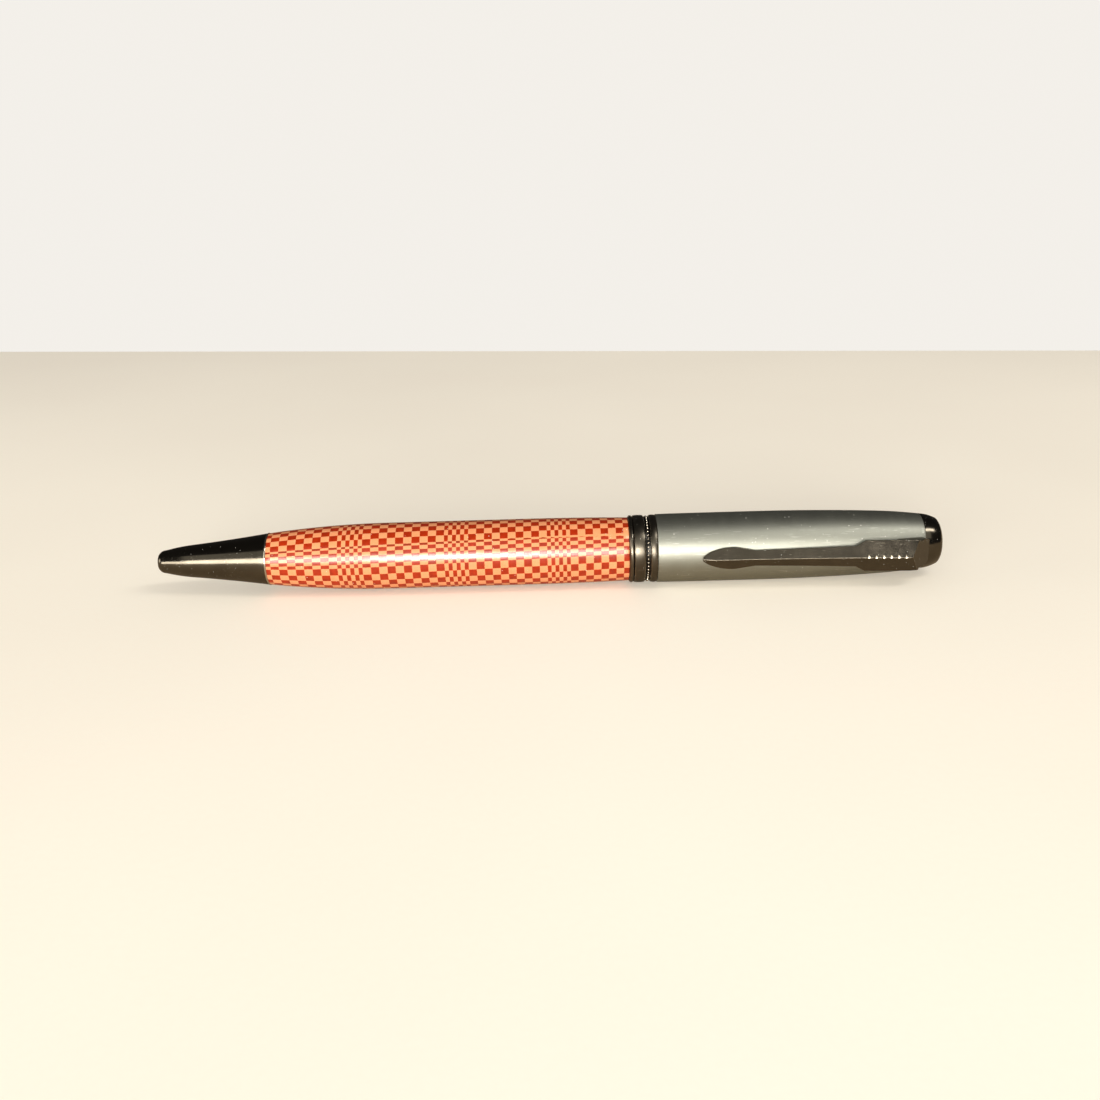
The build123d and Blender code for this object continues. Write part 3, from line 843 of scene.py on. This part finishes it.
class PEN_OT_waist(bpy.types.Operator):
    """Turns the waist: the edge ring, the two plated rings, and the sunk ring with its beads"""

    bl_idname = "pen.waist"
    bl_label = "Waist rings"

    def ring(self, node, body, outline):
        """One plated ring in a CAD node's place."""
        piece = turn(f"{node}_finished", outline, edge=0.04)
        finish(piece, body, "gunmetal_plate", FINISHES["gunmetal_plate"], node)

    def beads(self, context, seat, place):
        """A row of low beads around the sunk ring."""
        deselect()
        count = context.scene.pen_sizes.beads
        size, proud = 0.18, 0.02
        bpy.ops.mesh.primitive_uv_sphere_add(
            segments=10, ring_count=6, radius=size * MM,
            location=(along(place), AXIS.y - (seat + proud) * MM, AXIS.z), rotation=(math.pi / 2, 0, 0),
        )
        first = settle(context.object, "inlay_beads")
        copies = [first]
        for i in range(1, count):
            only(first)
            bpy.ops.object.duplicate()
            bead = context.object
            bpy.ops.object.mode_set(mode="EDIT")
            bpy.ops.mesh.select_all(action="SELECT")
            bpy.ops.transform.rotate(value=2 * math.pi * i / count, orient_axis="X", center_override=AXIS)
            bpy.ops.object.mode_set(mode="OBJECT")
            copies.append(bead)
        deselect()
        for bead in copies:
            bead.select_set(True)
        context.view_layer.objects.active = first
        bpy.ops.object.join()
        smooth(first, 80)
        finish(first, "upper_half", "bright_plate", FINISHES["bright_plate"])

    def execute(self, context):
        start, end, wide = start_of("coupling_ring"), end_of("coupling_ring"), radius_of("coupling_ring")
        hub, front_edge, chamfer, corner = 4.3, 5.52, 0.3, 0.1
        self.ring("coupling_ring", "twist_core", [
            (start, hub), (start, front_edge), (start + chamfer, wide), (end - corner, wide),
            (end, wide - corner), (end, hub), (start, hub),
        ])
        inner, crown_rise = 4.9, 0.07
        for node, bevel in (("band_front", 0.18), ("band_rear", 0.15)):
            start, end, wide = start_of(node), end_of(node), radius_of(node)
            rim = wide - crown_rise
            crown = arc((start + bevel, rim), ((start + end) / 2, wide), (end - bevel, rim), 8)
            self.ring(node, "upper_half", [
                (start, inner), (start, rim - bevel), (start + bevel, rim), *crown,
                (end, rim - bevel), (end, inner), (start, inner),
            ])
        start, end, seat = start_of("band_inlay"), end_of("band_inlay"), radius_of("band_inlay")
        middle, floor = (start + end) / 2, seat - 0.08
        hollow = arc((start, seat), (middle, floor), (end, seat), 6)
        outline = [(start, inner), (start, seat), *hollow, (end, inner), (start, inner)]
        sunk = turn("band_inlay_finished", outline, edge=0.01)
        finish(sunk, "upper_half", "band_black", FINISHES["band_black"], "band_inlay")
        self.beads(context, floor, middle)
        return {"FINISHED"}


class PEN_OT_cap_tube(bpy.types.Operator):
    """Turns the satin tube of the upper half and cuts the slot for the clip's tongue"""

    bl_idname = "pen.cap_tube"
    bl_label = "Upper tube"

    def execute(self, context):
        start, end, widest = start_of("cap_tube"), end_of("cap_tube"), radius_of("cap_tube")
        crown, heading = leave((104.0, widest), (1, 0), (125.0, 5.47), 20)
        close_in, _ = leave((125.0, 5.47), heading, (end, 4.8), 10)
        front_bore, rear_bore = 5.35, 4.3
        outline = [(start, front_bore), (start, 5.93), (89.0, 5.963), (93.0, widest), (98.0, widest)]
        outline += [(104.0, widest), *crown, *close_in, (end, rear_bore), (119.0, rear_bore)]
        outline += [(112.5, front_bore), (start, front_bore)]
        piece = turn("cap_tube_finished", outline)
        combine(piece, block("tongue_slot", TONGUE_AT, 5.2, (3.2, 2.4, 3.0)), "DIFFERENCE")
        smooth(piece)
        finish(piece, "upper_half", "satin_metal", FINISHES["satin_metal"], "cap_tube")
        return {"FINISHED"}


class PEN_OT_finial(bpy.types.Operator):
    """Turns the plated domed end"""

    bl_idname = "pen.finial"
    bl_label = "Domed end"

    def execute(self, context):
        start, end = start_of("finial"), end_of("finial")
        seat, shoulder = end_of("cap_tube"), radius_of("finial")
        screw_hole, stem, plug, plug_start, hole_end, near_axis = 1.25, 1.85, 4.25, 131.35, 134.2, 0.05
        outline = [(hole_end, near_axis), (hole_end, screw_hole), (start, screw_hole), (start, stem)]
        outline += [(plug_start, stem), (plug_start, plug), (seat, plug), (seat, shoulder)]
        outline += arc((seat, shoulder), (133.9, 4.55), (135.2, 4.03), 10)
        corner = arc((133.9, 4.55), (135.2, 4.03), (135.78, 3.0), 16)
        outline += [p for p in corner if p[0] > 135.2 + 1e-6]
        dome, _ = leave((end, 0.0), (0, 1), (135.78, 3.0), 10)
        outline += [*reversed(dome[:-1]), (end, near_axis)]
        piece = turn("finial_finished", outline)
        finish(piece, "upper_half", "gunmetal_plate", FINISHES["gunmetal_plate"], "finial")
        return {"FINISHED"}


# Clip sections: millimetres from the nose, half width, then the underside's, side edges' and ridge's
# distance from the pen's axis.
CLIP_LEAF = (
    (94.1, 0.35, 6.35, 6.5, 6.7),
    (95.1, 1.05, 6.1, 6.42, 7.0),
    (97.0, 1.7, 6.04, 6.36, 7.2),
    (99.2, 1.95, 6.04, 6.36, 7.27),
    (101.2, 1.7, 6.1, 6.4, 7.28),
    (103.0, 1.36, 6.25, 6.62, 7.3),
)
CLIP_ARM = (
    (111.5, 1.55, 6.5, 6.84, 7.53),
    (119.9, 1.8, 6.85, 7.15, 7.95),
    (121.5, 2.75, 6.7, 6.92, 8.05),
    (129.15, 2.75, 7.15, 7.42, 8.6),
    (132.0, 2.6, 7.15, 7.42, 8.6),
)
CLIP_ROOT = (
    (126.6, 2.4, 6.2, 7.1, 7.9),
    (127.4, 2.4, 5.5, 7.1, 7.9),
    (131.6, 2.4, 5.05, 7.1, 7.9),
    (132.4, 2.15, 4.95, 7.0, 7.6),
    (133.3, 1.6, 4.83, 6.6, 7.0),
    (134.6, 0.5, 4.57, 5.2, 5.4),
)
ARM_STOPS = (106.0, 109.0, 111.5, 115.7, 119.9, 120.7, 121.5, 129.15, 132.0)
RIB_START, RIB_PITCH, RIB_COUNT = 121.9, 1.24, 6
RIB_WIDE, RIB_DEEP, FILE_THICK = 0.31, 0.07, 1.0
RIB_FACING = (-0.24, -0.94, 0.24)
RIDGE_END = (129.17, 8.6)
END_FACET = (1.0, 1.5)


def between(sections, x):
    """The section at a place, straight between its neighbours."""
    for first, second in zip(sections, sections[1:]):
        if x <= second[0]:
            t = (x - first[0]) / (second[0] - first[0])
            return tuple(a + (b - a) * t for a, b in zip(first, second))
    return sections[-1]


def curve(t, a, b, c, d):
    """A value between b and c on the smooth curve through four values."""
    square, cube = 2 * a - 5 * b + 4 * c - d, 3 * b - a - 3 * c + d
    return 0.5 * (2 * b + (c - a) * t + square * t ** 2 + cube * t ** 3)


def faired(sections, steps):
    """Sections with more between them, on a smooth curve through all of them."""
    padded = [sections[0], *sections, sections[-1]]
    made = []
    for before, first, second, after in zip(padded, padded[1:], padded[2:], padded[3:]):
        for i in range(steps):
            t = i / steps
            made.append(tuple(curve(t, *four) for four in zip(before, first, second, after)))
    return [*made, sections[-1]]


def choose(bar, mesh, indices):
    """Selects the vertices with these indices and no others."""
    for vert in mesh.verts:
        vert.select = vert.index in indices
    mesh.select_flush_mode()
    bmesh.update_edit_mesh(bar.data)


def shape_bar(name, sections):
    """Cuts a block across at each section and moves its edges to a roofed cross-section."""
    xs = [along(s[0]) for s in sections]
    under, top, half = min(s[2] for s in sections), max(s[4] for s in sections), max(s[1] for s in sections)
    deselect()
    bpy.ops.mesh.primitive_cube_add(
        size=1,
        location=((xs[0] + xs[-1]) / 2, AXIS.y - (under + top) / 2 * MM, AXIS.z),
        scale=(xs[-1] - xs[0], (top - under) * MM, 2 * half * MM),
    )
    bar = settle(bpy.context.object, name)
    bpy.ops.object.mode_set(mode="EDIT")
    for x in xs[1:-1]:
        bpy.ops.mesh.select_all(action="SELECT")
        bpy.ops.mesh.bisect(plane_co=(x, 0, 0), plane_no=(1, 0, 0))
    bpy.ops.mesh.select_all(action="SELECT")
    bpy.ops.mesh.bisect(plane_co=AXIS, plane_no=(0, 0, 1))
    bpy.ops.mesh.select_mode(type="VERT")
    mesh = bmesh.from_edit_mesh(bar.data)
    middle_y = AXIS.y - (under + top) / 2 * MM
    close = 0.01 * MM
    for x, (_, wide, low, side, ridge) in zip(xs, sections):
        ring = [v for v in mesh.verts if abs(v.co.x - x) < close]
        bottom = {v.index for v in ring if v.co.y > middle_y}
        crest = {v.index for v in ring if v.co.y < middle_y and abs(v.co.z - AXIS.z) < close}
        flanks = {v.index for v in ring} - bottom - crest
        choose(bar, mesh, bottom | crest | flanks)
        bpy.ops.transform.resize(value=(1, 1, wide / half), center_override=(x, AXIS.y, AXIS.z))
        for group, shift in ((bottom, under - low), (flanks, top - side), (crest, top - ridge)):
            choose(bar, mesh, group)
            bpy.ops.transform.translate(value=(0, shift * MM, 0))
    bpy.ops.object.mode_set(mode="OBJECT")
    close_up(bar)
    return bar


class PEN_OT_clip(bpy.types.Operator):
    """Cuts the roofed clip with its leaf-shaped end, filed ridge, root and tongue"""

    bl_idname = "pen.clip"
    bl_label = "Clip"

    def execute(self, context):
        sections = faired(CLIP_LEAF, 4)
        whole = (*CLIP_LEAF, *CLIP_ARM)
        sections += [between(whole, x) for x in ARM_STOPS]
        arm = shape_bar("clip_finished", sections)
        combine(arm, shape_bar("clip_root", CLIP_ROOT), "UNION")
        combine(arm, block("clip_tongue", TONGUE_AT, 4.85, (2.6, 2.3, 2.4)), "UNION")
        self.slant_end(arm)
        close_up(arm)
        round_edges(arm, context.scene.pen_sizes.clip_edge, 24)
        self.cut_ribs(arm)
        smooth(arm, 30)
        finish(arm, "clip", "gunmetal_plate", FINISHES["gunmetal_plate"], "pocket_clip")
        return {"FINISHED"}

    def cut_ribs(self, arm):
        """Files small flats on the ridge of the head, one after another, tilted to catch the light."""
        outwards = Vector(RIB_FACING).normalized()
        for i in range(RIB_COUNT):
            x = RIB_START + i * RIB_PITCH
            ridge = Vector((along(x), AXIS.y - between(CLIP_ARM, x)[4] * MM, AXIS.z))
            middle = ridge + outwards * (FILE_THICK / 2 - RIB_DEEP) * MM
            deselect()
            bpy.ops.mesh.primitive_cube_add(
                size=1, location=middle, rotation=outwards.to_track_quat("Z", "Y").to_euler(),
                scale=(RIB_WIDE * MM, 2 * MM, FILE_THICK * MM),
            )
            combine(arm, settle(bpy.context.object, "rib_notch"), "DIFFERENCE")

    def slant_end(self, arm):
        """Cuts the clip's end off flat, sloping from the ridge down to the domed end."""
        only(arm)
        bpy.ops.object.mode_set(mode="EDIT")
        bpy.ops.mesh.select_all(action="SELECT")
        (end, ridge), (lengthwise, outwards) = RIDGE_END, END_FACET
        bpy.ops.mesh.bisect(
            plane_co=(along(end), AXIS.y - ridge * MM, AXIS.z), plane_no=(lengthwise, -outwards, 0),
            use_fill=True, clear_outer=True,
        )
        bpy.ops.object.mode_set(mode="OBJECT")


OUTSIDE = {
    "nose_cone", "nose_trim_ring", "barrel_shell", "coupling_ring", "band_front", "band_inlay", "band_rear",
    "cap_tube", "finial", "pocket_clip",
}


class PEN_OT_works(bpy.types.Operator):
    """Finishes the pieces inside: refill, spring, twist mechanism, bushes and screw"""

    bl_idname = "pen.works"
    bl_label = "Works"

    def execute(self, context):
        for entry in frame["record"]["subparts"]:
            if entry["node"] not in OUTSIDE:
                repaint(entry["node"], FINISHES[entry["material_slot"]])
        return {"FINISHED"}


# The room: how bright the polished pieces see it, and how bright and in which tone they see the table,
# whose far edge lies this far behind the pen and is turned by this much.
ROOM_DARK = 0.04
FLOOR_GLOW = 0.32
FLOOR_MIRRORED = (0.50, 0.39, 0.26)
TABLE_EDGE = 0.232
TABLE_TURN = math.radians(8.6)


class PEN_OT_studio(bpy.types.Operator):
    """Sets up the pale floor, the soft lamps and the camera"""

    bl_idname = "pen.studio"
    bl_label = "Studio"

    def floor(self):
        """A pale table top. Its far edge is turned a little, so that the rolled camera sees it level."""
        deselect()
        bpy.ops.mesh.primitive_cube_add(size=1, location=(0, TABLE_EDGE - 1.0, -0.02), scale=(5.0, 2.0, 0.04))
        top = settle(bpy.context.object, "studio_floor")
        bpy.ops.object.mode_set(mode="EDIT")
        bpy.ops.mesh.select_all(action="SELECT")
        bpy.ops.transform.rotate(value=TABLE_TURN, orient_axis="Z", center_override=(0, TABLE_EDGE, 0))
        bpy.ops.object.mode_set(mode="OBJECT")
        modify(top, "BEVEL", width=0.003, segments=4, limit_method="ANGLE", angle_limit=math.radians(40))
        smooth(top, 60)
        material, g, shader = new_material("Pale studio paper")
        spot = g.node("ShaderNodeTexCoord").outputs["Object"]
        fibre = g.noise(spot, 900.0, 4.0, 0.6)
        tone = g.spread(g.noise(spot, 6.0, 3.0), 0.3, 0.7)
        paper = g.mix(tone, (0.76, 0.70, 0.60), (0.81, 0.75, 0.645))
        rays = g.node("ShaderNodeLightPath").outputs
        seen = g.mix(g.math("MULTIPLY", fibre, 0.12), paper, (0.62, 0.54, 0.43))
        g.give(shader["Base Color"], g.mix(rays["Is Glossy Ray"], seen, FLOOR_MIRRORED))
        g.give(shader["Roughness"], g.spread(fibre, 0.3, 0.7, 0.72, 0.82))
        g.give(shader["Normal"], bump(g, fibre, 0.12, 0.05))
        g.give(shader["Emission Color"], paper)
        g.give(shader["Emission Strength"], g.math("MULTIPLY", rays["Is Camera Ray"], FLOOR_GLOW))
        top.data.materials.append(material)

    def lamp(self, name, place, target, size, power, colour, roll=0.0):
        """A rectangular soft lamp that faces a target, rolled about its own line."""
        data = bpy.data.lights.new(name, "AREA")
        data.shape, data.size, data.size_y = "RECTANGLE", size[0], size[1]
        data.energy, data.color = power, colour
        lamp = bpy.data.objects.new(name, data)
        bpy.context.scene.collection.objects.link(lamp)
        lamp.location = place
        facing = (Vector(target) - Vector(place)).to_track_quat("-Z", "Y")
        lamp.rotation_euler = (facing @ Quaternion((0, 0, 1), roll)).to_euler()

    def camera(self, studio):
        """The camera looks across the pen from a low height on the clip's side."""
        data = bpy.data.cameras.new("camera")
        data.sensor_width, data.lens = 36.0, studio.lens
        data.clip_start, data.clip_end = 0.01, 20.0
        camera = bpy.data.objects.new("camera", data)
        bpy.context.scene.collection.objects.link(camera)
        target = Vector((NOSE_X + studio.aim, AXIS.y, AXIS.z + studio.lift))
        back = Vector((0.0, -math.cos(studio.height), math.sin(studio.height)))
        camera.location = target + back * studio.distance
        level = (-back).to_track_quat("-Z", "Y")
        camera.rotation_euler = (level @ Quaternion((0, 0, 1), studio.roll)).to_euler()
        bpy.context.scene.camera = camera

    def air(self, strength):
        """Even light for the floor, and a dark room for the polished pieces to mirror."""
        world = bpy.data.worlds.new("Studio air")
        bpy.context.scene.world = world
        world.use_nodes = True
        world.cycles.sampling_method = "NONE"
        graph = Graph(world.node_tree)
        rays = graph.node("ShaderNodeLightPath").outputs
        seen = graph.math("MULTIPLY", rays["Is Camera Ray"], 0.90 - strength)
        mirrored = graph.math("MULTIPLY", rays["Is Glossy Ray"], ROOM_DARK - strength)
        level = graph.math("ADD", graph.math("ADD", strength, seen), mirrored)
        background = world.node_tree.nodes["Background"].inputs
        background["Color"].default_value = (1.0, 0.965, 0.91, 1.0)
        graph.give(background["Strength"], level)

    def execute(self, context):
        studio = context.scene.pen_studio
        self.floor()
        middle = (0.0, AXIS.y, AXIS.z)
        self.lamp("front_softbox", (-0.12, -0.80, 0.165), middle, (0.80, 0.31), studio.key_power,
                  (1.0, 0.965, 0.90))
        self.lamp("front_strip", (-0.087, -0.78, 0.13), middle, (0.13, 0.17), studio.strip_power,
                  (1.0, 0.975, 0.93))
        self.lamp("nose_lamp", (-0.66, -0.72, 0.12), middle, (0.26, 0.24), studio.side_power,
                  (1.0, 0.96, 0.88))
        self.lamp("side_lamp", (-0.90, -0.10, 0.16), middle, (0.45, 0.28), studio.side_power,
                  (1.0, 0.94, 0.84))
        self.lamp("top_softbox", (0.05, -0.64, 0.62), middle, (1.40, 0.55), studio.top_power,
                  (1.0, 0.97, 0.86))
        self.lamp("end_lamp", (0.47, -0.28, 0.67), middle, (0.55, 0.13), studio.end_power,
                  (1.0, 0.97, 0.92), roll=math.radians(-36.4))
        self.air(studio.air)
        self.camera(studio)
        context.scene.view_settings.view_transform = "Standard"
        return {"FINISHED"}


class PEN_PT_panel(bpy.types.Panel):
    """Lists the pen's pieces in the sidebar"""

    bl_idname = "PEN_PT_panel"
    bl_label = "Checked twist pen"
    bl_space_type = "VIEW_3D"
    bl_region_type = "UI"
    bl_category = "Pen"

    def draw(self, context):
        layout = self.layout
        for group in (context.scene.pen_sizes, context.scene.pen_colours, context.scene.pen_studio):
            column = layout.column()
            for key in group.__annotations__:
                column.prop(group, key)
        for operator in PIECES:
            layout.operator(operator.bl_idname)


PIECES = (
    PEN_OT_nose_cone,
    PEN_OT_trim_ring,
    PEN_OT_barrel,
    PEN_OT_waist,
    PEN_OT_cap_tube,
    PEN_OT_finial,
    PEN_OT_clip,
    PEN_OT_works,
    PEN_OT_studio,
)
CLASSES = (PenSizes, PenColours, PenStudio, *PIECES, PEN_PT_panel)


def register():
    """Registers the classes and hangs the settings on the scene."""
    for cls in CLASSES:
        bpy.utils.register_class(cls)
    bpy.types.Scene.pen_sizes = bpy.props.PointerProperty(type=PenSizes)
    bpy.types.Scene.pen_colours = bpy.props.PointerProperty(type=PenColours)
    bpy.types.Scene.pen_studio = bpy.props.PointerProperty(type=PenStudio)


def unregister():
    """Takes the settings off the scene and unregisters the classes."""
    del bpy.types.Scene.pen_studio
    del bpy.types.Scene.pen_colours
    del bpy.types.Scene.pen_sizes
    for cls in reversed(CLASSES):
        bpy.utils.unregister_class(cls)


def main():
    register()
    build_effects()
    FINISHES.update(build_finishes())
    for operator in PIECES:
        family, name = operator.bl_idname.split(".")
        getattr(getattr(bpy.ops, family), name)()
    deselect()


if __name__ == "__main__":
    main()
